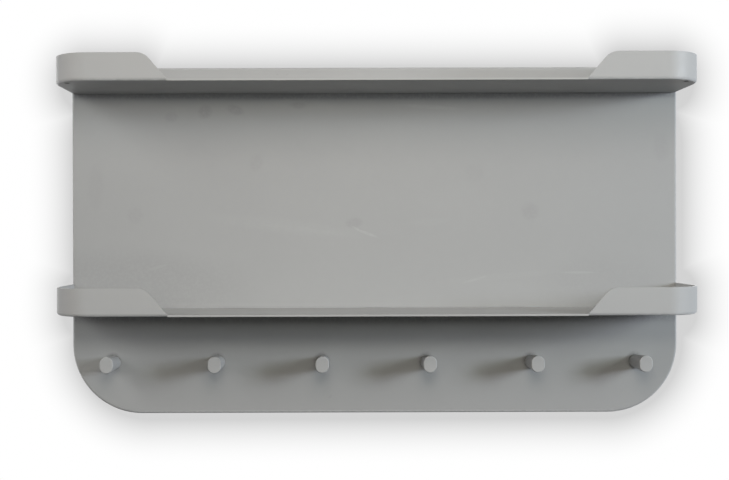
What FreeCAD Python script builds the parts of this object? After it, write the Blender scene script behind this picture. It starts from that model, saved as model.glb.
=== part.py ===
import FreeCAD, Part
import math
import os

# Wall shelf with two trays and a row of pegs, in powder-coated sheet steel.
# Lengths are in millimetres. X runs along the shelf, Y points at the wall, Z is up.
# The origin lies in the wall's plane, midway between the two hanging keyholes.

# Back panel: a shallow pan, its four edges folded back towards the wall
shelf_width = 700.0
panel_height = 400.0
panel_depth = 9.0
panel_sheet = 1.5
panel_fold_inside = 1.5
panel_corner_radius = 80.0
wall_gap = 1.0

# Trays: two alike pressings with a lip on both sides and round the front corners
tray_depth = 100.0
tray_sheet = 2.0
tray_fold_inside = 1.5
tray_corner_radius = 42.0
lip_height = 30.0
lip_front_reach = 127.0
lip_end_run = 24.0
lip_end_radius = 18.0
lower_tray_height = 120.0
drain_hole_radius = 3.0
drain_hole_inset = 17.3

# Welding tabs on the trays' rear edges, and their slots in the panel
tab_count = 5
tab_width = 24.0
tab_side_margin = 30.0
tab_clearance = 0.15

# Pegs: round at the panel, growing taller to an upright oblong end that keeps a strap on
peg_count = 6
peg_side_margin = 48.0
peg_axis_height = 59.0
peg_length = 40.0
peg_width = 15.0
peg_root_flat = 0.4
peg_end_height = 18.7
peg_end_rise = 2.0
peg_edge_radius = 1.0
peg_thread_depth = 15.0

# A key under each peg's root, in a slot of the panel, stops the peg from turning
key_width = 3.0
key_height = 2.4
key_drop = 5.0
key_shortfall = 0.3
key_clearance = 0.15

# Screws that hold the pegs from behind
screw_diameter = 5.0
screw_bite = 12.0
screw_thread_clearance = 0.05
screw_hole_clearance = 0.25
screw_head_diameter = 9.5
screw_head_height = 3.0
screw_head_bevel = 0.8
screw_socket_width = 3.0
screw_socket_depth = 1.8

# Hanger plates: strips bent to a hat section, each with a keyhole for a wall screw
hanger_width = 44.0
hanger_sheet = 1.5
hanger_fold_inside = 1.0
hanger_foot_height = 10.0
hanger_web_above = 22.0
hanger_web_below = 14.0
hanger_side_inset = 70.0
hanger_corner_radius = 4.0
keyhole_drop = 50.0
keyhole_entry_radius = 5.0
keyhole_slot_radius = 2.6
keyhole_slot_rise = 9.0

# Bumper pads at the foot of the panel's back
pad_base_radius = 7.0
pad_tip_radius = 5.5
pad_tip_bevel = 0.8
pad_side_inset = 80.0
pad_height = 25.0

# How far a cutting shape runs past the material, and how near two points count as one
overrun = 2.0
same_place = 0.001

# Places that follow from the sizes above
half_width = shelf_width / 2
panel_top = keyhole_drop
panel_bottom = panel_top - panel_height
panel_front_y = -wall_gap - panel_depth
panel_back_y = panel_front_y + panel_sheet
panel_fold_radius = panel_fold_inside + panel_sheet
tray_front_y = panel_front_y - tray_depth
tray_fold_radius = tray_fold_inside + tray_sheet
lip_foot_x = half_width - lip_front_reach
upper_tray_z = panel_top - lip_height
lower_tray_z = panel_bottom + lower_tray_height
peg_axis_z = panel_bottom + peg_axis_height
keyhole_x = half_width - hanger_side_inset

X = FreeCAD.Vector(1, 0, 0)
Y = FreeCAD.Vector(0, 1, 0)
Z = FreeCAD.Vector(0, 0, 1)


def at(x, y, z):
    return FreeCAD.Vector(x, y, z)


def block(low, high):
    """A box between its lowest and its highest corner."""
    size = high - low
    return Part.makeBox(size.x, size.y, size.z, low)


def rod(radius, start, end):
    """A cylinder between two points on its axis."""
    along = end - start
    return Part.makeCylinder(radius, along.Length, start, along)


def line(start, end):
    return Part.LineSegment(start, end).toShape()


def on_circle(centre, radius, degrees, across, up):
    """A point of a circle, its angle counted from one direction towards another."""
    angle = math.radians(degrees)
    return centre + across * (radius * math.cos(angle)) + up * (radius * math.sin(angle))


def arc(centre, radius, from_degrees, to_degrees, across, up):
    stops = [from_degrees, (from_degrees + to_degrees) / 2, to_degrees]
    return Part.Arc(*[on_circle(centre, radius, stop, across, up) for stop in stops]).toShape()


def closed_path(corners):
    """Straight edges from each corner to the next, and from the last to the first."""
    return [line(start, end) for start, end in zip(corners, corners[1:] + corners[:1])]


def slab(edges, thickness):
    """A closed outline made solid along a vector."""
    return Part.Face(Part.Wire(Part.__sortEdges__(edges))).extrude(thickness)


def evenly_spaced(count, side_margin):
    """Places along the shelf from one side margin to the other."""
    reach = half_width - side_margin
    return [reach * (2 * i / (count - 1) - 1) for i in range(count)]


def edges_at(shape, **places):
    """The edges that lie wholly at the given places, such as y=0.0 or x=5.0."""
    kept = []
    for edge in shape.Edges:
        ends = [vertex.Point for vertex in edge.Vertexes]
        if all(
            abs(getattr(end, axis) - place) < same_place
            for axis, place in places.items()
            for end in ends
        ):
            kept.append(edge)
    return kept


# Back panel


def panel_blank(inset, front_y, rear_y):
    """The panel's outline, drawn in by an inset and made solid between two depths."""
    side = half_width - inset
    top = panel_top - inset
    bottom = panel_bottom + inset
    radius = panel_corner_radius - inset
    corner_x = side - radius
    corner_z = bottom + radius
    edges = [
        line(at(-side, front_y, corner_z), at(-side, front_y, top)),
        line(at(-side, front_y, top), at(side, front_y, top)),
        line(at(side, front_y, top), at(side, front_y, corner_z)),
        arc(at(corner_x, front_y, corner_z), radius, 0, -90, X, Z),
        line(at(corner_x, front_y, bottom), at(-corner_x, front_y, bottom)),
        arc(at(-corner_x, front_y, corner_z), radius, -90, -180, X, Z),
    ]
    return slab(edges, Y * (rear_y - front_y))


def folded_envelope():
    """The space inside the panel's outer skin."""
    blank = panel_blank(0, panel_front_y, -wall_gap)
    return blank.makeFillet(panel_fold_radius, edges_at(blank, y=panel_front_y))


def tray_tabs(tray_z, clearance, front_y, rear_y):
    """The tabs of one tray, or with a clearance the slots that take them."""
    half_tab = tab_width / 2 + clearance
    return [
        block(
            at(x - half_tab, front_y, tray_z - clearance),
            at(x + half_tab, rear_y, tray_z + tray_sheet + clearance),
        )
        for x in evenly_spaced(tab_count, tab_side_margin)
    ]


def back_panel():
    hollow = panel_blank(panel_sheet, panel_back_y, overrun)
    hollow = hollow.makeFillet(panel_fold_inside, edges_at(hollow, y=panel_back_y))
    front_y = panel_front_y - overrun
    rear_y = panel_back_y + overrun
    cuts = [hollow]
    for tray_z in (upper_tray_z, lower_tray_z):
        cuts += tray_tabs(tray_z, tab_clearance, front_y, rear_y)
    for x in evenly_spaced(peg_count, peg_side_margin):
        screw_radius = screw_diameter / 2 + screw_hole_clearance
        cuts.append(rod(screw_radius, at(x, front_y, peg_axis_z), at(x, rear_y, peg_axis_z)))
        cuts.append(peg_key(x, key_clearance, front_y, rear_y))
    return folded_envelope().cut(cuts)


# Trays


def tray_blank(inset, low_z, high_z, rear_y, fold_radius):
    """The tray's plan, drawn in by an inset and made solid, its lower edge rounded."""
    side = half_width - inset
    front_y = tray_front_y + inset
    radius = tray_corner_radius - inset
    corner_x = side - radius
    corner_y = front_y + radius
    edges = [
        line(at(side, rear_y, low_z), at(side, corner_y, low_z)),
        arc(at(corner_x, corner_y, low_z), radius, 0, -90, X, Y),
        line(at(corner_x, front_y, low_z), at(-corner_x, front_y, low_z)),
        arc(at(-corner_x, corner_y, low_z), radius, -90, -180, X, Y),
        line(at(-side, corner_y, low_z), at(-side, rear_y, low_z)),
        line(at(-side, rear_y, low_z), at(side, rear_y, low_z)),
    ]
    solid = slab(edges, Z * (high_z - low_z))
    rear = edges_at(solid, y=rear_y, z=low_z)
    fold = [edge for edge in edges_at(solid, z=low_z) if not edge.isSame(rear[0])]
    return solid.makeFillet(fold_radius, fold)


def front_opening(tray_z):
    """The gap between the two lips: slanted ends that round over into the lips' tops."""
    plate_z = tray_z + tray_sheet
    top_z = tray_z + lip_height
    low_z = tray_z - overrun
    slant = math.degrees(math.atan2(lip_height - tray_sheet, lip_end_run))
    shoulder_x = lip_foot_x + lip_end_run + lip_end_radius * math.tan(math.radians(slant / 2))
    front_y = tray_front_y - overrun
    edges = []
    for side in (-1, 1):
        foot_x = side * lip_foot_x
        centre = at(side * shoulder_x, front_y, top_z - lip_end_radius)
        slant_top = on_circle(centre, lip_end_radius, 90 - slant, X * -side, Z)
        crest = at(side * shoulder_x, front_y, top_z)
        foot = at(foot_x, front_y, plate_z)
        edges += [
            line(at(0, front_y, low_z), at(foot_x, front_y, low_z)),
            line(at(foot_x, front_y, low_z), foot),
            line(foot, slant_top),
            arc(centre, lip_end_radius, 90 - slant, 90, X * -side, Z),
            line(crest, crest + Z * overrun),
            line(crest + Z * overrun, at(0, front_y, top_z + overrun)),
        ]
    return slab(edges, Y * (overrun + tray_fold_radius))


def drain_holes(tray_z):
    hole_x = half_width - drain_hole_inset
    hole_y = tray_front_y + drain_hole_inset
    return [
        rod(
            drain_hole_radius,
            at(x, hole_y, tray_z - overrun),
            at(x, hole_y, tray_z + tray_sheet + overrun),
        )
        for x in (-hole_x, hole_x)
    ]


def tray(tray_z):
    """One pressed tray, its rear edge fitted to the panel's face and rounded sides."""
    top_z = tray_z + lip_height
    plate_z = tray_z + tray_sheet
    rear_y = panel_front_y + panel_fold_radius
    skin = tray_blank(0, tray_z, top_z, rear_y, tray_fold_radius)
    inside = tray_blank(tray_sheet, plate_z, top_z + overrun, rear_y + overrun, tray_fold_inside)
    front_edge = block(
        at(-lip_foot_x, tray_front_y, tray_z),
        at(lip_foot_x, tray_front_y + tray_fold_radius, plate_z),
    )
    pressed = skin.cut([inside, front_opening(tray_z)]).fuse(front_edge)
    fitted = pressed.cut([folded_envelope()] + drain_holes(tray_z)).removeSplitter()
    return fitted.fuse(tray_tabs(tray_z, 0, panel_front_y, panel_back_y))


# Pegs and their screws


def peg_outline(x, out, inset):
    """The peg's outline at a distance out from the panel, drawn in by an inset."""
    share = out / peg_length
    root_height = peg_width + peg_root_flat
    height = root_height + (peg_end_height - root_height) * share
    centre = at(x, panel_front_y - out, peg_axis_z + peg_end_rise * share)
    radius = peg_width / 2 - inset
    up = Z * (height - peg_width) / 2
    side = X * radius
    return Part.Wire([
        arc(centre + up, radius, 0, 180, X, Z),
        line(centre + up - side, centre - up - side),
        arc(centre - up, radius, 180, 360, X, Z),
        line(centre - up + side, centre + up + side),
    ])


def peg_key(x, clearance, front_y, rear_y):
    """The key under one peg's root, or with a clearance the slot that takes it."""
    half_width_of_key = key_width / 2 + clearance
    half_height_of_key = key_height / 2 + clearance
    key_z = peg_axis_z - key_drop
    return block(
        at(x - half_width_of_key, front_y, key_z - half_height_of_key),
        at(x + half_width_of_key, rear_y, key_z + half_height_of_key),
    )


def peg(x):
    rounding = []
    for turn in (0, 45, 90):
        sunk = peg_edge_radius * (1 - math.sin(math.radians(turn)))
        inset = peg_edge_radius * (1 - math.cos(math.radians(turn)))
        rounding.append((sunk, inset))
    outlines = [peg_outline(x, sunk, inset) for sunk, inset in reversed(rounding)]
    outlines += [peg_outline(x, peg_length - sunk, inset) for sunk, inset in rounding]
    body = Part.makeLoft(outlines, True, True)
    thread = rod(
        screw_diameter / 2 + screw_thread_clearance,
        at(x, panel_front_y + overrun, peg_axis_z),
        at(x, panel_front_y - peg_thread_depth, peg_axis_z),
    )
    key = peg_key(x, 0, panel_front_y, panel_back_y - key_shortfall)
    return body.cut(thread).fuse(key)


def peg_screw(x):
    """A low-head screw from the panel's back into the peg, with a hexagon socket."""
    seat_y = panel_back_y
    head_y = seat_y + screw_head_height
    head = rod(screw_head_diameter / 2, at(x, seat_y, peg_axis_z), at(x, head_y, peg_axis_z))
    head = head.makeChamfer(screw_head_bevel, edges_at(head, y=head_y))
    shank = rod(
        screw_diameter / 2,
        at(x, seat_y, peg_axis_z),
        at(x, panel_front_y - screw_bite, peg_axis_z),
    )
    floor = at(x, head_y - screw_socket_depth, peg_axis_z)
    corner_radius = screw_socket_width / 2 / math.cos(math.radians(30))
    corners = [on_circle(floor, corner_radius, 60 * i, X, Z) for i in range(6)]
    socket = slab(closed_path(corners), Y * (screw_socket_depth + overrun))
    return head.fuse(shank).cut(socket)


# Hanger plates


def hanger_section():
    """The corners of the hat section: along the panel's side of the strip, then back."""
    foot_face = panel_back_y + hanger_sheet
    low = -hanger_web_below
    high = hanger_web_above
    low_tip = low - hanger_foot_height
    high_tip = high + hanger_foot_height
    panel_side = [
        (panel_back_y, low_tip),
        (panel_back_y, low + hanger_sheet),
        (-hanger_sheet, low + hanger_sheet),
        (-hanger_sheet, high - hanger_sheet),
        (panel_back_y, high - hanger_sheet),
        (panel_back_y, high_tip),
    ]
    wall_side = [
        (foot_face, high_tip),
        (foot_face, high),
        (0, high),
        (0, low),
        (foot_face, low),
        (foot_face, low_tip),
    ]
    return panel_side, wall_side


def hanger(x):
    panel_side, wall_side = hanger_section()
    left = x - hanger_width / 2
    corners = [at(left, y, z) for y, z in panel_side + wall_side]
    strip = slab(closed_path(corners), X * hanger_width)
    outer_folds = [panel_side[1], panel_side[4], wall_side[2], wall_side[3]]
    inner_folds = [panel_side[2], panel_side[3], wall_side[1], wall_side[4]]
    for folds, radius in (
        (outer_folds, hanger_fold_inside + hanger_sheet),
        (inner_folds, hanger_fold_inside),
    ):
        edges = []
        for y, z in folds:
            edges += edges_at(strip, y=y, z=z)
        strip = strip.makeFillet(radius, edges)
    tips = []
    for tip_x in (left, left + hanger_width):
        for tip_z in (panel_side[0][1], panel_side[-1][1]):
            tips += edges_at(strip, x=tip_x, z=tip_z)
    strip = strip.makeFillet(hanger_corner_radius, tips)
    return strip.cut(keyhole(x))


def keyhole(x):
    """A round entry for the wall screw's head, with a narrow slot rising from it."""
    inner_y = -hanger_sheet - overrun
    left = x - keyhole_slot_radius
    right = x + keyhole_slot_radius
    seat_z = keyhole_slot_rise
    entry = rod(keyhole_entry_radius, at(x, inner_y, 0), at(x, overrun, 0))
    slot = block(at(left, inner_y, 0), at(right, overrun, seat_z))
    seat = rod(keyhole_slot_radius, at(x, inner_y, seat_z), at(x, overrun, seat_z))
    return [entry, slot, seat]


# Bumper pads


def bumper_pad(x):
    pad_z = panel_bottom + pad_height
    tall = -panel_back_y
    base = at(x, panel_back_y, pad_z)
    pad = Part.makeCone(pad_base_radius, pad_tip_radius, tall, base, Y)
    return pad.makeChamfer(pad_tip_bevel, edges_at(pad, y=0))


# The pieces, each in a file of its own


def pieces():
    pad_x = half_width - pad_side_inset
    peg_places = evenly_spaced(peg_count, peg_side_margin)
    made = {
        "back_panel": back_panel(),
        "upper_tray": tray(upper_tray_z),
        "lower_tray": tray(lower_tray_z),
        "peg_screws": Part.makeCompound([peg_screw(x) for x in peg_places]),
        "hanger_left": hanger(-keyhole_x),
        "hanger_right": hanger(keyhole_x),
        "bumper_pads": Part.makeCompound([bumper_pad(x) for x in (-pad_x, pad_x)]),
    }
    for number, x in enumerate(peg_places, start=1):
        made["peg_%d" % number] = peg(x)
    return made


os.makedirs("parts", exist_ok=True)
for name, shape in pieces().items():
    shape.exportStep("parts/" + name + ".step")
    print(name, len(shape.Solids), "solids,", round(shape.Volume), "mm3, valid:", shape.isValid())
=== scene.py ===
import math

import bmesh
import bpy
from bpy.props import FloatProperty, FloatVectorProperty, IntProperty, PointerProperty
from mathutils import Matrix, Vector


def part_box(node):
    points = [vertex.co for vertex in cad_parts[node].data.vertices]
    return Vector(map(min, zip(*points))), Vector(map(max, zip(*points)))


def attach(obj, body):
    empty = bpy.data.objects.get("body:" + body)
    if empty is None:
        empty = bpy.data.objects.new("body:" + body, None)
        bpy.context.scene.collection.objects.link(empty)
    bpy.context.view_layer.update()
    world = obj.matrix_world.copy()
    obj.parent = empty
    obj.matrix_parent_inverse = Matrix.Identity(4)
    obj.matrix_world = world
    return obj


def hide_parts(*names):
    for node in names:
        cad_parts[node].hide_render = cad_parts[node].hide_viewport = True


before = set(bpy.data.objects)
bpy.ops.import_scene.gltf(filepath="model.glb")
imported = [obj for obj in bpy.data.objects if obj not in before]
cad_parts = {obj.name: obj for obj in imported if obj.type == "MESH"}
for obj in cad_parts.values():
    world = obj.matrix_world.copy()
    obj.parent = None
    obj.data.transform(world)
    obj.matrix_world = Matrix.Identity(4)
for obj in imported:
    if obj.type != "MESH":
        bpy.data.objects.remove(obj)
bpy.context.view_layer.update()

bl_info = {
    "name": "Steel Wall Shelf",
    "version": (1, 0, 0),
    "blender": (4, 5, 0),
    "location": "View3D > Sidebar > Shelf",
    "description": "Finishes a coated steel shelf with two trays and six pegs, and sets its studio",
    "category": "Object",
}

# Lengths are in metres. X runs along the shelf, Y points at the wall, Z is up.
# The wall's plane is y = 0, and the origin lies between the two hanging keyholes.
MM = 0.001
BODY = "root"

ALONG = Vector((1.0, 0.0, 0.0))
TOWARDS_WALL = Vector((0.0, 1.0, 0.0))
TOWARDS_ROOM = Vector((0.0, -1.0, 0.0))
DOWN = Vector((0.0, 0.0, -1.0))

# What the CAD frame gives
TRAYS = ("upper_tray", "lower_tray")
HANGERS = ("hanger_left", "hanger_right")
pegs = sorted(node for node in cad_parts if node.startswith("peg_") and node[-1].isdigit())
half_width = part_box("back_panel")[1].x
lips_rear_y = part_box("upper_tray")[1].y
pads_low, pads_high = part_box("bumper_pads")

# The studio picture's size, in which the camera's focal length and centre are given
PICTURE_WIDTH_PX = 729
PICTURE_HEIGHT_PX = 480
SENSOR_WIDTH_MM = 36.0

# How much the coat thins over a cut edge and over the trays' folds, where 1 is its
# thinning over the panel's folds. On the folds the lighter coat is also a painted highlight
CUT_EDGE_SHARE = 0.6
TRAY_FOLD_WEAR_AND_HIGHLIGHT = 1.8
# A point that has turned less than this counts as lying on a flat side
FLAT_SHARE = 0.25

# Marks on the panel's face, from faint smudges and rubs to painted shade and light: painted
# shadows beside the lower lips, a painted highlight along the foot and painted shade under
# the trays. Each gives x, z, length and width in millimetres, the turn in degrees, and how
# much lighter or darker the mark is at its middle
PANEL_MARKS_AND_PAINTED_SHADING = (
    ("round shade", 180, -117, 26, 26, 0, -0.060),
    ("faint round", 116, -72, 28, 28, 0, -0.025),
    ("small shade", -277, -121, 24, 24, 0, -0.040),
    ("mid smudge", -137, -60, 20, 26, -20, -0.045),
    ("left shade", -323, -88, 24, 66, 0, -0.030),
    ("right shade", 332, -43, 24, 44, 0, -0.035),
    ("thumb smudge", -24, -130, 26, 15, 8, -0.075),
    ("scratch", -9, -142, 32, 4.0, -20, 0.120),
    ("scratch tail", -22, -136, 16, 3.0, -30, 0.080),
    ("long rub", -100, -134, 230, 22, -7, 0.024),
    ("long rub core", -84, -137, 120, 8, -7, 0.020),
    ("short rub", 64, -129, 60, 12, 4, 0.020),
    ("right streak", 236, -188, 50, 3.4, 0, 0.085),
    ("right rub", 150, -192, 170, 10, 5, 0.018),
    ("low streak", 116, -196, 40, 3.4, 16, 0.055),
    ("left streak", -252, -181, 30, 5.0, 15, 0.050),
    ("top spot", -235, -7, 20, 16, 0, -0.060),
    ("top smudge left", -196, -1, 22, 20, 25, -0.110),
    ("top smudge right", -161, 1, 26, 15, -20, -0.100),
    ("top nick", -88, 6, 22, 10, 0, -0.090),
    ("top streak", 64, 4, 90, 6, -4, 0.070),
    ("low nick", -52, -331, 7, 4, 40, -0.060),
    # Painted shadows that the lower tray's lips cast on the panel
    ("painted shadow by left lip", -290, -205, 350, 110, 0, -0.075),
    ("painted shadow by right lip", 262, -205, 200, 90, 0, -0.035),
    # A painted highlight along the panel's bottom fold
    ("painted highlight along foot", 0, -349.2, 1250, 6, 0, 0.400),
    ("left dot", -112, 42, 3.4, 3, 0, -0.080),
    ("right dot", -101, 42, 3.4, 3, 0, -0.080),
    # Painted shade under the trays, where they meet the panel
    ("painted shade under upper tray", 0, 19, 1400, 16, 0, -0.240),
    ("painted shade under lower tray", 0, -237, 1400, 24, 0, -0.220),
)

# The painted shade round a peg's root, where the peg meets the panel, in the marks' own
# units: how far it lies to the left of the root's middle and above it, its size and its strength
PEG_SHADE_SHIFT = 1.5
PEG_SHADE_SIZE = 23
PEG_SHADE_STRENGTH = -0.500


# Settings


class EdgeSettings(bpy.types.PropertyGroup):
    """How far the coat rounds the cut edges."""

    rounding: FloatProperty(
        name="Rounding",
        description="How far the coat rounds a cut edge",
        default=0.35 * MM,
        min=0.05 * MM,
        unit="LENGTH",
    )
    steps: IntProperty(
        name="Steps",
        description="Faces across one rounded edge",
        default=3,
        min=1,
    )
    sharper_than: FloatProperty(
        name="Sharper than",
        description="An edge that turns by more than this is rounded",
        default=math.radians(28),
        subtype="ANGLE",
    )


class CoatSettings(bpy.types.PropertyGroup):
    """The grey powder coat on all the steel but the screws."""

    colour: FloatVectorProperty(
        name="Colour",
        description="The coat's colour",
        default=(0.356, 0.358, 0.354),
        size=3,
        min=0.0,
        max=1.0,
        subtype="COLOR",
    )
    roughness: FloatProperty(
        name="Roughness",
        description="How much the satin coat spreads a reflection",
        default=0.50,
        min=0.0,
        max=1.0,
        subtype="FACTOR",
    )
    peg_roughness: FloatProperty(
        name="Peg roughness",
        description="The same for the pegs, which hands and straps have polished",
        default=0.42,
        min=0.0,
        max=1.0,
        subtype="FACTOR",
    )
    shine: FloatProperty(
        name="Shine",
        description="Strength of the coat's reflection, where 0.5 is a bare resin's",
        default=0.25,
        min=0.0,
        max=1.0,
        subtype="FACTOR",
    )
    # Painted light: the trays and pegs catch more light than the panel, so their coat is painted
    # that much lighter
    raised_tone: FloatProperty(
        name="Raised tone",
        description="How much lighter the coat came out on the trays and pegs than on the panel",
        default=1.095,
        min=0.5,
        max=1.5,
    )
    ripple_width: FloatProperty(
        name="Ripple width",
        description="Width of one ripple in the baked coat",
        default=1.7 * MM,
        min=0.1 * MM,
        unit="LENGTH",
    )
    ripple_height: FloatProperty(
        name="Ripple height",
        description="Height of the ripples in the baked coat",
        default=0.010 * MM,
        min=0.0,
        unit="LENGTH",
    )
    cloudiness: FloatProperty(
        name="Cloudiness",
        description="How much the coat's tone drifts over a sheet",
        default=0.05,
        min=0.0,
        max=0.5,
        subtype="FACTOR",
    )
    dust: FloatProperty(
        name="Dust",
        description="How much dust lies on what faces up",
        default=0.12,
        min=0.0,
        max=1.0,
        subtype="FACTOR",
    )
    # Over the folds this lighter coat is also a painted highlight
    edge_wear: FloatProperty(
        name="Edge wear",
        description="How much lighter the coat is where it thins over an edge or a fold",
        default=0.45,
        min=0.0,
        max=1.0,
        subtype="FACTOR",
    )


class WeldSettings(bpy.types.PropertyGroup):
    """The weld beads on the back."""

    tab_count: IntProperty(
        name="Tabs",
        description="Tabs of each tray that come through the panel",
        default=5,
        min=2,
    )
    tab_side_margin: FloatProperty(
        name="Tab margin",
        description="From the panel's side to the middle of the outermost tab",
        default=30 * MM,
        unit="LENGTH",
    )
    tab_bead: FloatProperty(
        name="Tab bead",
        description="Length of the bead over one tab",
        default=27 * MM,
        unit="LENGTH",
    )
    foot_bead: FloatProperty(
        name="Foot bead",
        description="Length of one bead along a hanger's foot",
        default=14 * MM,
        unit="LENGTH",
    )
    width: FloatProperty(
        name="Width",
        description="Width of a bead over a tab",
        default=5 * MM,
        unit="LENGTH",
    )
    height: FloatProperty(
        name="Height",
        description="Height of a bead over a tab",
        default=1.1 * MM,
        unit="LENGTH",
    )
    ripple: FloatProperty(
        name="Ripple",
        description="Distance from one ripple of a bead to the next",
        default=1.4 * MM,
        unit="LENGTH",
    )


class PadSettings(bpy.types.PropertyGroup):
    """The rubber bumper pads."""

    base_radius: FloatProperty(
        name="Base radius",
        description="Radius at the panel",
        default=7.0 * MM,
        unit="LENGTH",
    )
    tip_radius: FloatProperty(
        name="Tip radius",
        description="Radius at the wall",
        default=5.5 * MM,
        unit="LENGTH",
    )
    tip_rounding: FloatProperty(
        name="Tip rounding",
        description="Rounding of the edge that meets the wall",
        default=0.8 * MM,
        unit="LENGTH",
    )
    dimple_radius: FloatProperty(
        name="Dimple radius",
        description="Radius of the moulded hollow in the tip",
        default=2.2 * MM,
        unit="LENGTH",
    )
    dimple_depth: FloatProperty(
        name="Dimple depth",
        description="Depth of the moulded hollow in the tip",
        default=0.7 * MM,
        unit="LENGTH",
    )


class CameraSettings(bpy.types.PropertyGroup):
    """The camera, nearly square to the panel."""

    place: FloatVectorProperty(
        name="Place",
        description="Where the camera stands",
        default=(-0.0386, -1.1577, -0.1427),
        size=3,
        subtype="TRANSLATION",
        unit="LENGTH",
    )
    yaw: FloatProperty(
        name="Yaw",
        description="Turn to the right from square to the wall",
        default=math.radians(0.032),
        subtype="ANGLE",
    )
    pitch: FloatProperty(
        name="Pitch",
        description="Turn upwards from level",
        default=math.radians(-0.217),
        subtype="ANGLE",
    )
    roll: FloatProperty(
        name="Roll",
        description="Turn about the line of sight",
        default=math.radians(-0.165),
        subtype="ANGLE",
    )
    focal_px: FloatProperty(
        name="Focal length",
        description="Focal length, in pixels of the picture",
        default=991.2,
        min=1.0,
    )
    centre_px: FloatVectorProperty(
        name="Centre",
        description="Where the line of sight meets the picture, in its pixels",
        default=(341.9, 237.7),
        size=2,
    )


class StudioSettings(bpy.types.PropertyGroup):
    """The lamps, the room light, the backdrop and the floor."""

    low_power: FloatProperty(
        name="Low lamp",
        description="Power of the narrow softbox just above the camera",
        default=1.7,
        min=0.0,
        unit="POWER",
    )
    front_power: FloatProperty(
        name="Front lamp",
        description="Power of the wide softbox behind the camera",
        default=4.65,
        min=0.0,
        unit="POWER",
    )
    key_power: FloatProperty(
        name="Key lamp",
        description="Power of the softbox above and in front",
        default=3.1,
        min=0.0,
        unit="POWER",
    )
    side_power: FloatProperty(
        name="Side lamp",
        description="Power of the softbox far to the right, which throws the pegs' shadows",
        default=41.0,
        min=0.0,
        unit="POWER",
    )
    flank_power: FloatProperty(
        name="Flank lamp",
        description="Power of the small softbox on the right",
        default=8.0,
        min=0.0,
        unit="POWER",
    )
    high_power: FloatProperty(
        name="High lamp",
        description="Power of the high softbox on the left",
        default=13.0,
        min=0.0,
        unit="POWER",
    )
    left_power: FloatProperty(
        name="Left lamp",
        description="Power of the softbox on the left",
        default=6.8,
        min=0.0,
        unit="POWER",
    )
    rear_power: FloatProperty(
        name="Rear lamps",
        description="Power of each softbox that lights the shelf's back",
        default=26.0,
        min=0.0,
        unit="POWER",
    )
    room_light: FloatProperty(
        name="Room light",
        description="Level of the light that comes from all round",
        default=0.008,
        min=0.0,
    )
    floor_drop: FloatProperty(
        name="Floor",
        description="How far the floor lies below the keyholes",
        default=1.1,
        unit="LENGTH",
    )
    floor_glow: FloatProperty(
        name="Floor glow",
        description="How far the floor is lifted towards white for the camera",
        default=0.70,
        min=0.0,
        max=1.0,
        subtype="FACTOR",
    )
    wall_shade: FloatProperty(
        name="Wall shade",
        description="How dark the soft shade round the shelf is at its darkest",
        default=0.353,
        min=0.0,
        max=1.0,
        subtype="FACTOR",
    )
    shade_reach: FloatProperty(
        name="Shade reach",
        description="How far the soft shade spreads on the wall",
        default=54.8 * MM,
        unit="LENGTH",
    )


SETTINGS = {
    "shelf_edges": EdgeSettings,
    "shelf_coat": CoatSettings,
    "shelf_welds": WeldSettings,
    "shelf_pads": PadSettings,
    "shelf_camera": CameraSettings,
    "shelf_studio": StudioSettings,
}


# Nodes


def wire(tree, value, socket):
    """Gives a socket a value, or the output of another node."""
    if isinstance(value, bpy.types.NodeSocket):
        tree.links.new(value, socket)
    else:
        socket.default_value = value


def place(tree, kind, sockets=None, **settings):
    """Adds a node with its settings, and fills its sockets."""
    node = tree.nodes.new(kind)
    for key, value in settings.items():
        setattr(node, key, value)
    for key, value in (sockets or {}).items():
        wire(tree, value, node.inputs[key])
    return node


def calc(tree, operation, *values):
    """One step of arithmetic."""
    return place(tree, "ShaderNodeMath", dict(enumerate(values)), operation=operation).outputs[0]


def calc_vector(tree, operation, *values):
    """One step of arithmetic on vectors. A length comes out as a value."""
    node = place(tree, "ShaderNodeVectorMath", dict(enumerate(values)), operation=operation)
    return node.outputs["Value" if operation == "LENGTH" else "Vector"]


def grey(level):
    """An opaque grey."""
    return (level, level, level, 1.0)


def mix_colours(tree, share, first, second, blend_type="MIX"):
    """Mixes two colours by a share."""
    node = place(tree, "ShaderNodeMix", data_type="RGBA", blend_type=blend_type)
    sockets = {socket.identifier: socket for socket in node.inputs}
    wire(tree, share, sockets["Factor_Float"])
    wire(tree, first, sockets["A_Color"])
    wire(tree, second, sockets["B_Color"])
    return next(socket for socket in node.outputs if socket.identifier == "Result_Color")


def even_colour(tree, level):
    """A grey whose level is a socket."""
    return place(tree, "ShaderNodeCombineColor", {0: level, 1: level, 2: level}).outputs[0]


def toned(tree, colour, tone):
    """A colour times a tone."""
    return mix_colours(tree, 1.0, colour, even_colour(tree, tone), "MULTIPLY")


def rescale(tree, value, span, result):
    """Maps a value smoothly from a span to a result, and holds it inside."""
    sockets = {"Value": value, "From Min": span[0], "From Max": span[1],
               "To Min": result[0], "To Max": result[1]}
    node = place(tree, "ShaderNodeMapRange", sockets, interpolation_type="SMOOTHSTEP")
    return node.outputs[0]


def noise(tree, vector, width, detail, roughness=0.5):
    """A noise from 0 to 1 whose blobs are about as wide as the given length."""
    linked = isinstance(width, bpy.types.NodeSocket)
    scale = calc(tree, "DIVIDE", 1.0, width) if linked else 1.0 / width
    sockets = {"Vector": vector, "Scale": scale, "Detail": detail, "Roughness": roughness}
    return place(tree, "ShaderNodeTexNoise", sockets).outputs["Fac"]


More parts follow.
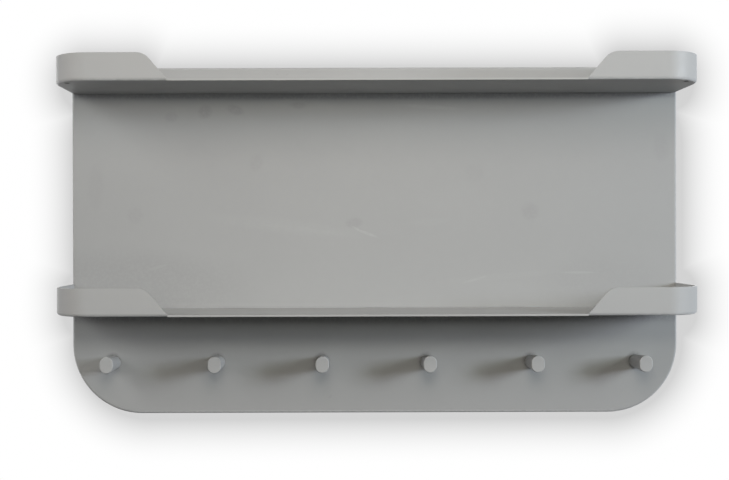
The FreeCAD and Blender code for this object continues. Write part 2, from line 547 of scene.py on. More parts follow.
# Patterns: the width of their blobs, the noise's detail and roughness, the span of the
# noise that counts, and what that span becomes
DUST_DRIFTS = (30 * MM, 4.0, 0.6, (0.3, 0.75), (0.35, 1.0))
DUST_SPECKS = (1.2 * MM, 2.0, 0.5, (0.62, 0.72), (0.0, 0.8))
RIM_BREAKS = (9 * MM, 3.0, 0.5, (0.35, 0.65), (0.6, 1.0))
WIPES = (28 * MM, 3.0, 0.6, (0.35, 0.7), (-0.5, 0.5))
FINGER_MARKS = (11 * MM, 2.0, 0.5, (0.6, 0.72), (0.0, -0.7))
RAGGED_MARK = (3 * MM, 3.0, 0.6, (0.3, 0.6), (0.45, 1.0))
ZINC_CLOUDS = (3 * MM, 3.0, 0.5, (0.35, 0.65), (0.0, 1.0))


def pattern(tree, vector, width, detail, roughness, span, result):
    """A pattern's value at a point of the surface."""
    return rescale(tree, noise(tree, vector, width, detail, roughness), span, result)


# Node groups

# Socket kinds
VALUE = "NodeSocketFloat"
VECTOR = "NodeSocketVector"

# Width of the coat's grain against its ripple, and of the mottle against the clouds
GRAIN_SHARE = 0.22
MOTTLE_SHARE = 0.09
# Strength of the mottle against the clouds, and the middle of a noise
MOTTLE_STRENGTH = 0.5
NOISE_MIDDLE = 0.5
# Dust starts where the normal's upward part is the first, and lies fully at the second
DUSTY_SLOPE = (0.6, 0.97)
# Name of the mesh layer that says how thin the coat is, and how strong the painted highlight on a
# fold is
RIM = "rim"
# A wipe's place is scaled by this, which draws the wipe out along X
WIPE_STRETCH = (0.25, 1.0, 1.0)
# A mark is full up to the first share of its size from its middle, and gone at the second
MARK_EDGE = (0.22, 0.5)


def start_group(name, inputs, output):
    """An empty node group. Each input is a name, a kind and a default."""
    tree = bpy.data.node_groups.new(name, "ShaderNodeTree")
    for label, kind, default in inputs:
        socket = tree.interface.new_socket(label, in_out="INPUT", socket_type=kind)
        if default is not None:
            socket.default_value = default
    tree.interface.new_socket(output, in_out="OUTPUT", socket_type=VALUE)
    return tree, tree.nodes.new("NodeGroupInput").outputs, tree.nodes.new("NodeGroupOutput").inputs


def use(tree, build, sockets):
    """Places a node group, which is built on its first use, and gives its output."""
    group = bpy.data.node_groups.get(build.__name__) or build()
    return place(tree, "ShaderNodeGroup", sockets, node_tree=group).outputs[0]


def baked_ripple():
    """The gentle ripple and the fine grain of a baked powder coat."""
    inputs = [("Vector", VECTOR, None), ("Width", VALUE, 1.7 * MM), ("Grain", VALUE, 0.3)]
    tree, given, out = start_group("baked_ripple", inputs, "Height")
    grain_width = calc(tree, "MULTIPLY", given["Width"], GRAIN_SHARE)
    ripple = noise(tree, given["Vector"], given["Width"], detail=1.0)
    grain = noise(tree, given["Vector"], grain_width, detail=1.0)
    wire(tree, calc(tree, "MULTIPLY_ADD", grain, given["Grain"], ripple), out["Height"])
    return tree


def cloudy_tone():
    """A factor round 1 that drifts slowly over a sheet, with a finer mottle in it."""
    inputs = [("Vector", VECTOR, None), ("Width", VALUE, 0.12), ("Contrast", VALUE, 0.05)]
    tree, given, out = start_group("cloudy_tone", inputs, "Tone")
    mottle_width = calc(tree, "MULTIPLY", given["Width"], MOTTLE_SHARE)
    clouds = noise(tree, given["Vector"], given["Width"], detail=3.0)
    mottle = noise(tree, given["Vector"], mottle_width, detail=3.0, roughness=0.6)
    both = calc(tree, "MULTIPLY_ADD", mottle, MOTTLE_STRENGTH, clouds)
    centred = calc(tree, "SUBTRACT", both, NOISE_MIDDLE * (1 + MOTTLE_STRENGTH))
    wire(tree, calc(tree, "MULTIPLY_ADD", centred, given["Contrast"], 1.0), out["Tone"])
    return tree


def settled_dust():
    """Dust on what faces up, in drifts and specks."""
    inputs = [("Vector", VECTOR, None), ("Amount", VALUE, 0.1)]
    tree, given, out = start_group("settled_dust", inputs, "Mask")
    normal = place(tree, "ShaderNodeNewGeometry").outputs["Normal"]
    upward = place(tree, "ShaderNodeSeparateXYZ", {0: normal}).outputs["Z"]
    level = rescale(tree, upward, DUSTY_SLOPE, (0.0, 1.0))
    drifts = pattern(tree, given["Vector"], *DUST_DRIFTS)
    specks = pattern(tree, given["Vector"], *DUST_SPECKS)
    cover = calc(tree, "MULTIPLY", calc(tree, "ADD", drifts, specks), level)
    wire(tree, calc(tree, "MULTIPLY", cover, given["Amount"]), out["Mask"])
    return tree


def thin_rim():
    """Where the coat thins over a rounded edge or a fold, broken up along it; on a fold this also
    paints the fold's highlight.
    """
    inputs = [("Vector", VECTOR, None), ("Amount", VALUE, 0.25)]
    tree, given, out = start_group("thin_rim", inputs, "Mask")
    rim = place(tree, "ShaderNodeAttribute", attribute_name=RIM).outputs["Fac"]
    worn = calc(tree, "MULTIPLY", rim, pattern(tree, given["Vector"], *RIM_BREAKS))
    wire(tree, calc(tree, "MULTIPLY", worn, given["Amount"]), out["Mask"])
    return tree


def wiped_sheen():
    """Long faint wipes and finger marks, which change only how a surface shines."""
    inputs = [("Vector", VECTOR, None), ("Amount", VALUE, 0.05)]
    tree, given, out = start_group("wiped_sheen", inputs, "Change")
    stretched = calc_vector(tree, "MULTIPLY", given["Vector"], WIPE_STRETCH)
    wipes = pattern(tree, stretched, *WIPES)
    fingers = pattern(tree, given["Vector"], *FINGER_MARKS)
    both = calc(tree, "ADD", wipes, fingers)
    wire(tree, calc(tree, "MULTIPLY", both, given["Amount"]), out["Change"])
    return tree


def soft_mark():
    """One soft-edged mark on an upright face, 1 at its middle."""
    inputs = [("Vector", VECTOR, None), ("Centre", VECTOR, None), ("Turn", VALUE, 0.0),
              ("Length", VALUE, 10 * MM), ("Width", VALUE, 10 * MM)]
    tree, given, out = start_group("soft_mark", inputs, "Mask")
    from_centre = calc_vector(tree, "SUBTRACT", given["Vector"], given["Centre"])
    sockets = {"Vector": from_centre, "Angle": given["Turn"]}
    turned = place(tree, "ShaderNodeVectorRotate", sockets, rotation_type="Y_AXIS")
    parts = place(tree, "ShaderNodeSeparateXYZ", {0: turned.outputs[0]}).outputs
    along = calc(tree, "DIVIDE", parts["X"], given["Length"])
    across = calc(tree, "DIVIDE", parts["Z"], given["Width"])
    flat = place(tree, "ShaderNodeCombineXYZ", {"X": along, "Y": across}).outputs[0]
    body = rescale(tree, calc_vector(tree, "LENGTH", flat), MARK_EDGE, (1.0, 0.0))
    ragged = pattern(tree, given["Vector"], *RAGGED_MARK)
    wire(tree, calc(tree, "MULTIPLY", body, ragged), out["Mask"])
    return tree


def plate_distance():
    """Distance on the wall from an upright rectangle with rounded corners."""
    inputs = [("Vector", VECTOR, None), ("Centre", VECTOR, None),
              ("Half size", VECTOR, None), ("Corner", VALUE, 20 * MM)]
    tree, given, out = start_group("plate_distance", inputs, "Distance")
    from_centre = calc_vector(tree, "SUBTRACT", given["Vector"], given["Centre"])
    one_quarter = calc_vector(tree, "ABSOLUTE", from_centre)
    beyond = calc_vector(tree, "SUBTRACT", one_quarter, given["Half size"])
    outside = calc_vector(tree, "MAXIMUM", beyond, (0.0, 0.0, 0.0))
    on_wall = calc_vector(tree, "MULTIPLY", outside, (1.0, 0.0, 1.0))
    reach = calc_vector(tree, "LENGTH", on_wall)
    wire(tree, calc(tree, "SUBTRACT", reach, given["Corner"]), out["Distance"])
    return tree


# Materials

# A point faces the room where its normal's Y is below this
FACING_ROOM = -0.05

# The lighter grey of a thin coat, which on the folds is also a painted highlight
COAT_WORN_AND_FOLD_HIGHLIGHT = grey(0.62)
COAT_DUST = (0.60, 0.58, 0.54, 1.0)
COAT_CLOUD_WIDTH = 0.12
# The ripple on the pegs and on the weld beads, where 1 is that on the sheets
PEG_RIPPLE_SCALE = 0.7
WELD_RIPPLE_SCALE = 1.6

ZINC_BLUE = (0.52, 0.55, 0.58, 1.0)
ZINC_STRAW = (0.60, 0.58, 0.52, 1.0)
ZINC_WORN = grey(0.72)
RUBBER_BLACK = (0.022, 0.022, 0.023, 1.0)
RUBBER_DUST = (0.20, 0.19, 0.18, 1.0)
FLOOR_PAINT = grey(0.80)
WHITE = grey(1.0)

# What the wall's soft shade spreads from: centre, half size and corner radius, in
# millimetres
SHADED_PLATES = (
    ("panel", (3.8, -153.9), (355.9, 205.5), 92.0),
    ("upper left lip", (-306.7, 33.0), (57.9, 33.0), 30.4),
    ("upper right lip", (318.0, 35.0), (54.8, 35.0), 30.4),
    ("lower tray", (6.5, -224.2), (369.6, 42.5), 30.4),
)
# How fast that shade falls off, and a distance that it never reaches
SHADE_FALL = 2.0
OUT_OF_SHADE = 1.0


def empty_material(name):
    """A material with nothing but its output, whose surface socket it gives."""
    material = bpy.data.materials.new(name)
    material.use_nodes = True
    tree = material.node_tree
    tree.nodes.clear()
    return material, tree, tree.nodes.new("ShaderNodeOutputMaterial").inputs["Surface"]


def start_material(name):
    """A material with a plain shader, whose sockets it gives."""
    material, tree, surface = empty_material(name)
    shader = tree.nodes.new("ShaderNodeBsdfPrincipled")
    wire(tree, shader.outputs[0], surface)
    return material, tree, shader.inputs


def object_place(tree):
    """Where a point of the surface is, in the shelf's own frame."""
    return place(tree, "ShaderNodeTexCoord").outputs["Object"]


def wiped(tree, vector, roughness, amount):
    """A roughness with faint wipes in it."""
    sheen = use(tree, wiped_sheen, {"Vector": vector, "Amount": amount})
    return calc(tree, "ADD", sheen, roughness)


def raise_ripple(tree, shader, vector, width, height, grain):
    """Raises a fine ripple on a surface."""
    ripple = use(tree, baked_ripple, {"Vector": vector, "Width": width, "Grain": grain})
    bump = place(tree, "ShaderNodeBump", {"Height": ripple, "Distance": height})
    wire(tree, bump.outputs[0], shader["Normal"])


def peg_joints():
    """The painted shade round the pegs' roots, as marks on the panel."""
    screws_low, screws_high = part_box("peg_screws")
    z = (screws_low.z + screws_high.z) / 2 / MM + PEG_SHADE_SHIFT
    marks = []
    for peg in pegs:
        low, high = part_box(peg)
        x = (low.x + high.x) / 2 / MM - PEG_SHADE_SHIFT
        size = PEG_SHADE_SIZE
        marks.append((f"painted shade round {peg}", x, z, size, size, 0, PEG_SHADE_STRENGTH))
    return tuple(marks)


def all_marks(tree, vector, marks):
    """The sum of the marks and of the painted shade and light among them, each by its own strength,
    on what faces the room.
    """
    total = 0.0
    for _, x, z, length, width, turn, strength in marks:
        mask = use(tree, soft_mark, {
            "Vector": vector,
            "Centre": (x * MM, 0.0, z * MM),
            "Turn": math.radians(turn),
            "Length": length * MM,
            "Width": width * MM,
        })
        total = calc(tree, "MULTIPLY_ADD", mask, strength, total)
    normal = place(tree, "ShaderNodeNewGeometry").outputs["Normal"]
    facing = place(tree, "ShaderNodeSeparateXYZ", {0: normal}).outputs["Y"]
    front = calc(tree, "LESS_THAN", facing, FACING_ROOM)
    return calc(tree, "MULTIPLY", total, front)


def coat_material(name, roughness, ripple_scale=1.0, painted_light_factor=1.0, marks=()):
    """The grey powder coat. Its tone can carry painted light, and its marks painted shade and
    painted highlights.
    """
    coat = bpy.context.scene.shelf_coat
    material, tree, shader = start_material(name)
    vector = object_place(tree)
    sockets = {"Vector": vector, "Width": COAT_CLOUD_WIDTH, "Contrast": coat.cloudiness}
    # The tone is raised here by painted light on the trays and pegs
    tone = calc(tree, "MULTIPLY", use(tree, cloudy_tone, sockets), painted_light_factor)
    # The marks can add painted shade and painted highlights to the tone
    if marks:
        tone = calc(tree, "ADD", tone, all_marks(tree, vector, marks))
    rim = use(tree, thin_rim, {"Vector": vector, "Amount": coat.edge_wear})
    dust = use(tree, settled_dust, {"Vector": vector, "Amount": coat.dust})
    colour = toned(tree, (*coat.colour, 1.0), tone)
    colour = mix_colours(tree, rim, colour, COAT_WORN_AND_FOLD_HIGHLIGHT)
    colour = mix_colours(tree, dust, colour, COAT_DUST)
    wire(tree, colour, shader["Base Color"])
    rougher = calc(tree, "ADD", wiped(tree, vector, roughness, amount=0.06), dust)
    wire(tree, rougher, shader["Roughness"])
    wire(tree, coat.shine, shader["Specular IOR Level"])
    raise_ripple(tree, shader, vector, coat.ripple_width * ripple_scale,
                 coat.ripple_height * ripple_scale, grain=0.3)
    return material


def zinc_material():
    """Bright zinc plating, faintly clouded blue and straw."""
    material, tree, shader = start_material("zinc_plating")
    vector = object_place(tree)
    colour = mix_colours(tree, pattern(tree, vector, *ZINC_CLOUDS), ZINC_BLUE, ZINC_STRAW)
    rim = use(tree, thin_rim, {"Vector": vector, "Amount": 0.4})
    wire(tree, mix_colours(tree, rim, colour, ZINC_WORN), shader["Base Color"])
    wire(tree, 1.0, shader["Metallic"])
    wire(tree, wiped(tree, vector, roughness=0.34, amount=0.12), shader["Roughness"])
    raise_ripple(tree, shader, vector, width=0.5 * MM, height=0.006 * MM, grain=0.6)
    return material


def rubber_material():
    """Matt black rubber with a fine moulded grain, a little dusty."""
    material, tree, shader = start_material("black_rubber")
    vector = object_place(tree)
    tone = use(tree, cloudy_tone, {"Vector": vector, "Width": 8 * MM, "Contrast": 0.5})
    dust = use(tree, settled_dust, {"Vector": vector, "Amount": 0.3})
    colour = mix_colours(tree, dust, toned(tree, RUBBER_BLACK, tone), RUBBER_DUST)
    wire(tree, colour, shader["Base Color"])
    wire(tree, wiped(tree, vector, roughness=0.66, amount=0.1), shader["Roughness"])
    raise_ripple(tree, shader, vector, width=0.6 * MM, height=0.03 * MM, grain=0.8)
    return material


def floor_material():
    """A pale floor, lifted towards white for the camera, that keeps the shelf's shadow."""
    material, tree, shader = start_material("pale_floor")
    vector = object_place(tree)
    tone = use(tree, cloudy_tone, {"Vector": vector, "Width": 0.6, "Contrast": 0.03})
    wire(tree, toned(tree, FLOOR_PAINT, tone), shader["Base Color"])
    wire(tree, 0.85, shader["Roughness"])
    wire(tree, WHITE, shader["Emission Color"])
    rays = place(tree, "ShaderNodeLightPath").outputs
    seen = calc(tree, "MAXIMUM", rays["Is Camera Ray"], rays["Is Glossy Ray"])
    glow = calc(tree, "MULTIPLY", seen, bpy.context.scene.shelf_studio.floor_glow)
    wire(tree, glow, shader["Emission Strength"])
    return material


def wall_shade(tree, vector):
    """How dark the wall is: a soft shade round the panel and both trays."""
    studio = bpy.context.scene.shelf_studio
    nearest = OUT_OF_SHADE
    for _, centre, half_size, corner in SHADED_PLATES:
        distance = use(tree, plate_distance, {
            "Vector": vector,
            "Centre": (centre[0] * MM, 0.0, centre[1] * MM),
            "Half size": ((half_size[0] - corner) * MM, 0.0, (half_size[1] - corner) * MM),
            "Corner": corner * MM,
        })
        nearest = calc(tree, "MINIMUM", distance, nearest)
    inwards = calc(tree, "MULTIPLY_ADD", nearest, -1.0 / studio.shade_reach, 1.0)
    held = place(tree, "ShaderNodeClamp", {"Value": inwards}).outputs[0]
    return calc(tree, "MULTIPLY", calc(tree, "POWER", held, SHADE_FALL), studio.wall_shade)


def wall_material():
    """A white wall that glows by itself, and can't be seen from behind."""
    material, tree, surface = empty_material("white_wall")
    level = calc(tree, "SUBTRACT", 1.0, wall_shade(tree, object_place(tree)))
    glow = place(tree, "ShaderNodeEmission", {"Color": even_colour(tree, level)}).outputs[0]
    clear = place(tree, "ShaderNodeBsdfTransparent").outputs[0]
    behind = place(tree, "ShaderNodeNewGeometry").outputs["Backfacing"]
    sides = place(tree, "ShaderNodeMixShader", {0: behind, 1: glow, 2: clear}).outputs[0]
    wire(tree, sides, surface)
    return material


# Meshes

# Points nearer than the first are one point, and faces that turn by less than the
# second are one face
SAME_POINT = 0.002 * MM
SAME_PLANE = math.radians(0.3)

# A weld bead's mesh: points across it, and rings to each ripple
BEAD_SIDES = 9
RINGS_PER_RIPPLE = 4
# How blunt a bead's ends are, and the share of its section that is left there
BEAD_BLUNTNESS = 10
BEAD_END_SHARE = 0.06
# How far a ripple trails at the bead's sides in ripples, and its height in bead heights
RIPPLE_LAG = 0.35
RIPPLE_CREST = 0.13
# How deep a bead's base sinks in, in bead heights
BEAD_SINK = 0.1

# Half the trays' plate, which is the tabs' middle above the tray's underside
TAB_MIDDLE = 1.0 * MM
# The beads of a hanger's foot: their places along it, how they lean towards the wall and
# away from the foot, and their width and height against a tab's bead
FOOT_BEAD_PLACES = (0.25, 0.75)
FOOT_BEAD_LEAN = (0.6, 0.8)
FOOT_BEAD_WIDTH = 0.7
FOOT_BEAD_HEIGHT = 1.3

# A pad's mesh: points round it, and faces across each of its rounded edges
PAD_SIDES = 48
PAD_EDGE_STEPS = 6
# Rounding of the dimple's edge, as a share of the dimple's radius
DIMPLE_EDGE_SHARE = 0.25


def new_piece(name, work, material):
    """Turns a bmesh into a smooth piece of the shelf."""
    for face in work.faces:
        face.smooth = True
    mesh = bpy.data.meshes.new(name)
    work.to_mesh(mesh)
    work.free()
    if "custom_normal" in mesh.attributes:
        mesh.attributes.remove(mesh.attributes["custom_normal"])
    mesh.materials.clear()
    mesh.materials.append(material)
    piece = bpy.data.objects.new(name, mesh)
    bpy.context.scene.collection.objects.link(piece)
    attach(piece, BODY)
    return piece


def even_normals(piece):
    """Keeps flat faces flat to the eye beside rounded edges."""
    modifier = piece.modifiers.new("Even normals", "WEIGHTED_NORMAL")
    modifier.keep_sharp = True


def fold_share(vert, outside):
    """How far a point lies on the turn from one side of the sheet to the next, 1 midway."""
    facing = max(0.0, min(1.0, vert.normal.dot(outside)))
    # The square of the sine of twice the angle between the two
    turned = 4 * facing ** 2 * (1 - facing ** 2)
    return max(0.0, (turned - FLAT_SHARE) / (1 - FLAT_SHARE))


def rounded_copy(node, material, outside=None, fold_wear_and_highlight=1.0):
    """A copy of one CAD node with its cut edges rounded, which stands for the node.

    The coat is marked as thin on the cut edges, and on the folds where the sheet turns
    away from the given outside; on a fold the mark also paints the highlight that the
    fold catches.
    """
    edges = bpy.context.scene.shelf_edges
    work = bmesh.new()
    work.from_mesh(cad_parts[node].data)
    bmesh.ops.remove_doubles(work, verts=work.verts, dist=SAME_POINT)
    bmesh.ops.dissolve_limit(work, angle_limit=SAME_PLANE, verts=work.verts, edges=work.edges)
    sharp = [
        edge for edge in work.edges
        if edge.is_manifold and edge.calc_face_angle(0.0) > edges.sharper_than
    ]
    made = bmesh.ops.bevel(
        work, geom=sharp, offset=edges.rounding, offset_type="OFFSET",
        segments=edges.steps, profile=0.5, affect="EDGES", clamp_overlap=True,
    )
    open_edges = sum(1 for edge in work.edges if not edge.is_manifold)
    if open_edges:
        raise RuntimeError(f"{node} has {open_edges} open edges after rounding")
    rounded = set(made["faces"])
    rim = work.verts.layers.float.new(RIM)
    work.normal_update()
    for vert in work.verts:
        if all(face in rounded for face in vert.link_faces):
            vert[rim] = CUT_EDGE_SHARE
        elif outside:
            # On a fold this marks a painted highlight as well as a thin coat
            vert[rim] = fold_share(vert, outside) * fold_wear_and_highlight
    piece = new_piece(node + "_finished", work, material)
    even_normals(piece)
    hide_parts(node)
    return piece


def evenly_spaced(count, side_margin):
    """Places along the shelf from one side margin to the other."""
    reach = half_width - side_margin
    return [reach * (2 * i / (count - 1) - 1) for i in range(count)]


def lay_bead(work, middle, length, out, width, height):
    """A rippled weld bead along the shelf, standing out in the given direction."""
    pitch = bpy.context.scene.shelf_welds.ripple
    across = ALONG.cross(out).normalized()
    start = middle - ALONG * (length / 2)
    ring_count = RINGS_PER_RIPPLE * round(length / pitch)
    rings = []
    for i in range(ring_count + 1):
        travel = 2 * i / ring_count - 1
        passed = (travel + 1) * length / 2
        taper = math.sqrt(max(0.0, 1 - abs(travel) ** BEAD_BLUNTNESS))
        swell = taper * (1 - BEAD_END_SHARE) + BEAD_END_SHARE
        spread = across * (width / 2 * swell)
        ring = []
        for j in range(BEAD_SIDES):
            angle = math.pi * j / (BEAD_SIDES - 1)
            side, rise = math.cos(angle), math.sin(angle)
            lag = RIPPLE_LAG * pitch * side * side
            phase = 2 * math.pi * (passed + lag) / pitch
            crest = 1 + RIPPLE_CREST * math.cos(phase) * rise
            point = start + ALONG * passed + spread * side
            ring.append(work.verts.new(point + out * (rise * height * swell * crest)))
        base = start + ALONG * passed - out * (BEAD_SINK * height)
        ring.append(work.verts.new(base - spread))
        ring.append(work.verts.new(base + spread))
        rings.append(ring)
    for near, far in zip(rings, rings[1:]):
        for j in range(len(near)):
            k = (j + 1) % len(near)
            work.faces.new((near[j], near[k], far[k], far[j]))
    work.faces.new(list(reversed(rings[0])))
    work.faces.new(rings[-1])


def finish_beads(name, work, material):
    """Turns laid beads into a coated piece."""
    bmesh.ops.recalc_face_normals(work, faces=work.faces)
    return new_piece(name, work, material)


def quarter_turn():
    """The angles across one rounded edge of a pad."""
    return [math.radians(90 * step / PAD_EDGE_STEPS) for step in range(PAD_EDGE_STEPS + 1)]


def pad_profile():
    """The pad's outline from its base, over the tip's edge and into the dimple."""
    pads = bpy.context.scene.shelf_pads
    base_y, tip_y = pads_low.y, pads_high.y
    shoulder_radius = pads.tip_radius - pads.tip_rounding
    shoulder_y = tip_y - pads.tip_rounding
    dimple_edge = DIMPLE_EDGE_SHARE * pads.dimple_radius
    points = [(0.0, base_y), (pads.base_radius, base_y)]
    for angle in quarter_turn():
        points.append((
            shoulder_radius + pads.tip_rounding * math.cos(angle),
            shoulder_y + pads.tip_rounding * math.sin(angle),
        ))
    for angle in quarter_turn():
        points.append((
            pads.dimple_radius + dimple_edge * (1 - math.sin(angle)),
            tip_y - pads.dimple_depth * (1 - math.cos(angle)),
        ))
    points.append((0.0, tip_y - pads.dimple_depth))
    return points


def mould_pad(work, x, z):
    """One pad, turned round its axis."""
    rings = []
    for radius, y in pad_profile():
        ring = []
        for i in range(PAD_SIDES if radius else 1):
            angle = 2 * math.pi * i / PAD_SIDES
            point = (x + radius * math.cos(angle), y, z + radius * math.sin(angle))
            ring.append(work.verts.new(point))
        rings.append(ring)
    for near, far in zip(rings, rings[1:]):
        for i in range(PAD_SIDES):
            k = i + 1
            corners = (near[i % len(near)], near[k % len(near)],
                       far[k % len(far)], far[i % len(far)])
            work.faces.new(list(dict.fromkeys(corners)))


# Studio

# The lamps: name, place, width and height in metres, and colour
LAMPS = (
    ("low_lamp", (0.0, -1.0, 0.12), 0.5, 0.12, (1.0, 0.95, 0.80)),
    ("front_lamp", (0.0, -2.2, 0.10), 1.0, 0.3, (1.0, 1.0, 0.89)),
    ("key_lamp", (0.0, -1.0, 0.45), 0.5, 0.45, (1.0, 0.88, 0.82)),
    ("side_lamp", (2.309, -1.333, 0.20), 0.5, 0.5, (0.82, 0.88, 1.0)),
    ("flank_lamp", (1.57, -1.15, 0.35), 0.35, 0.3, (0.90, 1.0, 0.98)),
    ("high_lamp", (-1.7, -1.1, 0.9), 0.8, 0.8, (0.98, 1.0, 0.98)),
    ("left_lamp", (-1.9, -0.75, 0.2), 0.8, 0.8, (0.96, 0.93, 1.0)),
    ("rear_lamp_left", (1.0, 1.6, 0.9), 1.0, 0.8, (1.0, 1.0, 1.0)),
    ("rear_lamp_right", (-1.3, 1.6, 0.2), 1.0, 0.8, (1.0, 1.0, 1.0)),
)
LAMPS_AIM = (0.0, 0.0, -0.12)

# Half the floor's side, half the wall's width, and the wall's top edge
FLOOR_REACH = 4.0
WALL_REACH = 2.4
WALL_TOP = 1.7
# The wall stands a little behind its plane, clear of the pads' tips
WALL_Y = 0.5 * MM


def stage_sheet(name, corners, material):
    """A flat backdrop that isn't part of the shelf, and lights nothing."""
    mesh = bpy.data.meshes.new(name)
    mesh.from_pydata(corners, [], [(0, 1, 2, 3)])
    mesh.materials.append(material)
    sheet = bpy.data.objects.new(name, mesh)
    bpy.context.scene.collection.objects.link(sheet)
    sheet.visible_diffuse = False
    return sheet


def floor_corners(z):
    """The floor's corners, at the given height."""
    reach = FLOOR_REACH
    return [(-reach, -reach, z), (reach, -reach, z), (reach, reach, z), (-reach, reach, z)]


def wall_corners(z):
    """The wall's corners, from the given height up."""
    return [(-WALL_REACH, WALL_Y, z), (WALL_REACH, WALL_Y, z),
            (WALL_REACH, WALL_Y, WALL_TOP), (-WALL_REACH, WALL_Y, WALL_TOP)]


def lamp(name, stand, width, height, power, colour):
    """A softbox that the camera doesn't see."""
    light = bpy.data.lights.new(name, "AREA")
    light.shape = "RECTANGLE"
    light.size = width
    light.size_y = height
    light.energy = power
    light.color = colour
    holder = bpy.data.objects.new(name, light)
    bpy.context.scene.collection.objects.link(holder)
    towards = Vector(LAMPS_AIM) - Vector(stand)
    holder.location = stand
    holder.rotation_mode = "QUATERNION"
    holder.rotation_quaternion = towards.to_track_quat("-Z", "Y")
    holder.visible_camera = False
    return holder


def light_room():
    """White to the camera and in reflections, and a soft level for everything else."""
    world = bpy.data.worlds.new("room")
    world.use_nodes = True
    tree = world.node_tree
    tree.nodes.clear()
    rays = place(tree, "ShaderNodeLightPath").outputs
    seen = calc(tree, "MAXIMUM", rays["Is Camera Ray"], rays["Is Transmission Ray"])
    seen = calc(tree, "MAXIMUM", seen, rays["Is Glossy Ray"])
    room_light = bpy.context.scene.shelf_studio.room_light
    strength = calc(tree, "MULTIPLY_ADD", seen, 1.0 - room_light, room_light)
    sockets = {"Color": WHITE, "Strength": strength}
    background = place(tree, "ShaderNodeBackground", sockets).outputs[0]
    place(tree, "ShaderNodeOutputWorld", {"Surface": background})
    bpy.context.scene.world = world


def set_camera():
    """The camera at the picture's viewing angle."""
    view = bpy.context.scene.shelf_camera
    forward = Vector((
        math.sin(view.yaw) * math.cos(view.pitch),
        math.cos(view.yaw) * math.cos(view.pitch),
        math.sin(view.pitch),
    ))
    level_right = Vector((math.cos(view.yaw), -math.sin(view.yaw), 0.0))
    level_up = level_right.cross(forward)
    right = level_right * math.cos(view.roll) + level_up * math.sin(view.roll)
    up = level_up * math.cos(view.roll) - level_right * math.sin(view.roll)
    data = bpy.data.cameras.new("camera")
    data.sensor_fit = "HORIZONTAL"
    data.sensor_width = SENSOR_WIDTH_MM
    data.lens = view.focal_px / PICTURE_WIDTH_PX * SENSOR_WIDTH_MM
    data.shift_x = (PICTURE_WIDTH_PX / 2 - view.centre_px[0]) / PICTURE_WIDTH_PX
    data.shift_y = (view.centre_px[1] - PICTURE_HEIGHT_PX / 2) / PICTURE_WIDTH_PX
    camera = bpy.data.objects.new("camera", data)
    bpy.context.scene.collection.objects.link(camera)
    camera.matrix_world = (
        Matrix.Translation(view.place) @ Matrix((right, up, -forward)).transposed().to_4x4()
    )
    bpy.context.scene.camera = camera


# Operators


class SHELF_OT_finish_panel(bpy.types.Operator):
    """Coats the back panel, with the marks and the painted shade and highlights on its face"""

    bl_idname = "shelf.finish_panel"
    bl_label = "Finish back panel"

    def execute(self, context):
        roughness = context.scene.shelf_coat.roughness
        material = coat_material("panel_coat", roughness, marks=PANEL_MARKS_AND_PAINTED_SHADING + peg_joints())
        rounded_copy("back_panel", material, TOWARDS_ROOM)
        return {"FINISHED"}


class SHELF_OT_finish_trays(bpy.types.Operator):
    """Coats the two trays, in a coat painted lighter than the panel's for the light they catch,
    with painted highlights on their folds
    """

    bl_idname = "shelf.finish_trays"
    bl_label = "Finish trays"

    def execute(self, context):
        coat = context.scene.shelf_coat
        material = coat_material("tray_coat", coat.roughness, painted_light_factor=coat.raised_tone)
        for tray in TRAYS:
            rounded_copy(tray, material, DOWN, TRAY_FOLD_WEAR_AND_HIGHLIGHT)
        return {"FINISHED"}


class SHELF_OT_finish_pegs(bpy.types.Operator):
    """Coats the row of pegs, in a coat painted lighter than the panel's for the light they catch"""

    bl_idname = "shelf.finish_pegs"
    bl_label = "Finish pegs"

    def execute(self, context):
        coat = context.scene.shelf_coat
        material = coat_material("peg_coat", coat.peg_roughness, PEG_RIPPLE_SCALE,
                                 coat.raised_tone)
        for peg in pegs:
            rounded_copy(peg, material)
        return {"FINISHED"}


class SHELF_OT_finish_hangers(bpy.types.Operator):
    """Coats the two hanger plates on the back"""

    bl_idname = "shelf.finish_hangers"
    bl_label = "Finish hangers"

    def execute(self, context):
        material = coat_material("hanger_coat", context.scene.shelf_coat.roughness)
        for hanger in HANGERS:
            rounded_copy(hanger, material)
        return {"FINISHED"}


class SHELF_OT_plate_screws(bpy.types.Operator):
    """Plates the six screws that hold the pegs"""

    bl_idname = "shelf.plate_screws"
    bl_label = "Plate screws"

    def execute(self, context):
        rounded_copy("peg_screws", zinc_material())
        return {"FINISHED"}


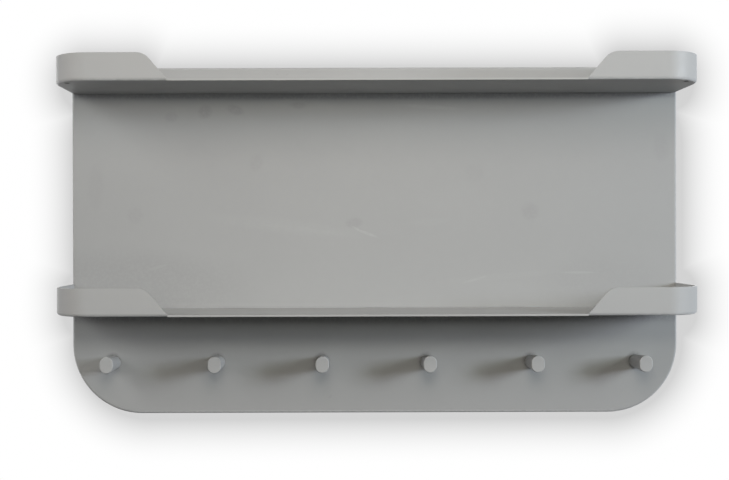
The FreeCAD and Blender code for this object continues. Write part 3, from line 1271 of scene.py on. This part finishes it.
class SHELF_OT_lay_welds(bpy.types.Operator):
    """Lays the weld beads over the trays' tabs and along the hangers' feet"""

    bl_idname = "shelf.lay_welds"
    bl_label = "Lay welds"

    def execute(self, context):
        welds = context.scene.shelf_welds
        roughness = context.scene.shelf_coat.roughness
        material = coat_material("weld_coat", roughness, WELD_RIPPLE_SCALE)
        for tray in TRAYS:
            work = bmesh.new()
            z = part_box(tray)[0].z + TAB_MIDDLE
            # These beads lie level with the rear ends of the trays' lips
            for x in evenly_spaced(welds.tab_count, welds.tab_side_margin):
                lay_bead(work, Vector((x, lips_rear_y, z)), welds.tab_bead, TOWARDS_WALL,
                         welds.width, welds.height)
            finish_beads(tray + "_welds", work, material)
        for hanger in HANGERS:
            low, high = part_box(hanger)
            work = bmesh.new()
            for z, upward in ((high.z, 1.0), (low.z, -1.0)):
                out = Vector((0.0, FOOT_BEAD_LEAN[0], upward * FOOT_BEAD_LEAN[1]))
                for share in FOOT_BEAD_PLACES:
                    middle = Vector((low.x + (high.x - low.x) * share, low.y, z))
                    lay_bead(work, middle, welds.foot_bead, out,
                             FOOT_BEAD_WIDTH * welds.width, FOOT_BEAD_HEIGHT * welds.height)
            finish_beads(hanger + "_welds", work, material)
        return {"FINISHED"}


class SHELF_OT_mould_pads(bpy.types.Operator):
    """Moulds the two rubber pads at the foot of the back"""

    bl_idname = "shelf.mould_pads"
    bl_label = "Mould pads"

    def execute(self, context):
        pads = context.scene.shelf_pads
        work = bmesh.new()
        z = (pads_low.z + pads_high.z) / 2
        for x in (pads_low.x + pads.base_radius, pads_high.x - pads.base_radius):
            mould_pad(work, x, z)
        bmesh.ops.recalc_face_normals(work, faces=work.faces)
        piece = new_piece("bumper_pads_finished", work, rubber_material())
        even_normals(piece)
        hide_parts("bumper_pads")
        return {"FINISHED"}


class SHELF_OT_set_studio(bpy.types.Operator):
    """Sets the floor, the wall, the lamps, the room light and the camera"""

    bl_idname = "shelf.set_studio"
    bl_label = "Set studio"

    def execute(self, context):
        studio = context.scene.shelf_studio
        floor_z = -studio.floor_drop
        stage_sheet("floor", floor_corners(floor_z), floor_material())
        wall = stage_sheet("wall", wall_corners(floor_z), wall_material())
        wall.visible_shadow = False
        for name, stand, width, height, colour in LAMPS:
            power = getattr(studio, name.split("_")[0] + "_power")
            lamp(name, stand, width, height, power, colour)
        light_room()
        set_camera()
        context.scene.view_settings.view_transform = "Standard"
        return {"FINISHED"}


OPERATORS = (
    SHELF_OT_finish_panel,
    SHELF_OT_finish_trays,
    SHELF_OT_finish_pegs,
    SHELF_OT_finish_hangers,
    SHELF_OT_plate_screws,
    SHELF_OT_lay_welds,
    SHELF_OT_mould_pads,
    SHELF_OT_set_studio,
)


class SHELF_PT_sidebar(bpy.types.Panel):
    """The shelf's settings and steps"""

    bl_idname = "SHELF_PT_sidebar"
    bl_label = "Steel Wall Shelf"
    bl_space_type = "VIEW_3D"
    bl_region_type = "UI"
    bl_category = "Shelf"

    def draw(self, context):
        steps = self.layout.column(align=True)
        for operator in OPERATORS:
            steps.operator(operator.bl_idname)
        for name, settings in SETTINGS.items():
            box = self.layout.box()
            for key in settings.__annotations__:
                box.prop(getattr(context.scene, name), key)


def register():
    """Registers the settings, the steps and the sidebar."""
    for name, settings in SETTINGS.items():
        bpy.utils.register_class(settings)
        setattr(bpy.types.Scene, name, PointerProperty(type=settings))
    for operator in OPERATORS:
        bpy.utils.register_class(operator)
    bpy.utils.register_class(SHELF_PT_sidebar)


def unregister():
    """Takes back all that register adds."""
    bpy.utils.unregister_class(SHELF_PT_sidebar)
    for operator in reversed(OPERATORS):
        bpy.utils.unregister_class(operator)
    for name, settings in SETTINGS.items():
        delattr(bpy.types.Scene, name)
        bpy.utils.unregister_class(settings)


def main():
    """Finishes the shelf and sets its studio."""
    register()
    bpy.ops.shelf.finish_panel()
    bpy.ops.shelf.finish_trays()
    bpy.ops.shelf.finish_pegs()
    bpy.ops.shelf.finish_hangers()
    bpy.ops.shelf.plate_screws()
    bpy.ops.shelf.lay_welds()
    bpy.ops.shelf.mould_pads()
    bpy.ops.shelf.set_studio()


if __name__ == "__main__":
    main()
